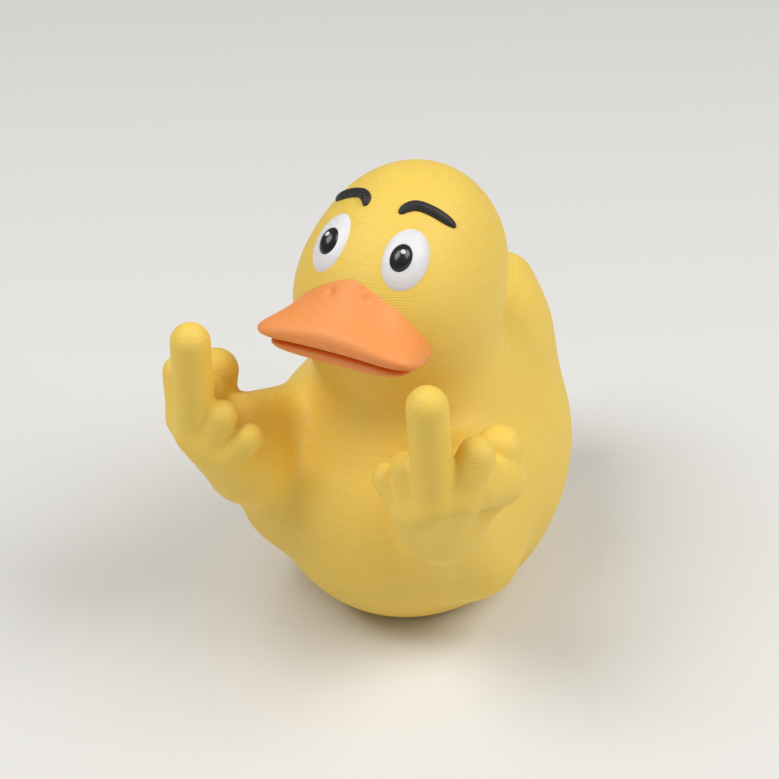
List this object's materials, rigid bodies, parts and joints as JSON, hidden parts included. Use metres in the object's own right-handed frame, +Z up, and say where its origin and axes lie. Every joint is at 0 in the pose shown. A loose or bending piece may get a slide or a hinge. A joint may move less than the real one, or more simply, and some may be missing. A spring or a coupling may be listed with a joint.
{
  "type": "duck figurine",
  "caption": "Duck figurine that stands on a flat base, with an upturned tail, an open beak, raised eyebrows and two raised hands in place of wings, one finger of each held up.",
  "frame": {"origin": "on the surface the duck stands on, at the middle of its overall box", "axes": "+Z up, the duck faces -Y, +X to the duck's left"},
  "size_m": [0.0532, 0.0734, 0.071],
  "materials": {
    "yellow_plastic": "matte, with fine print layers",
    "orange_plastic": "matte, with fine print layers",
    "white_plastic": "matte",
    "black_plastic": "satin"
  },
  "bodies": {
    "root": {"duck_body": "yellow_plastic", "beak": "orange_plastic", "left_eye_white": "white_plastic", "right_eye_white": "white_plastic", "left_pupil": "black_plastic", "right_pupil": "black_plastic", "left_brow": "black_plastic", "right_brow": "black_plastic"}
  },
  "joints": []
}
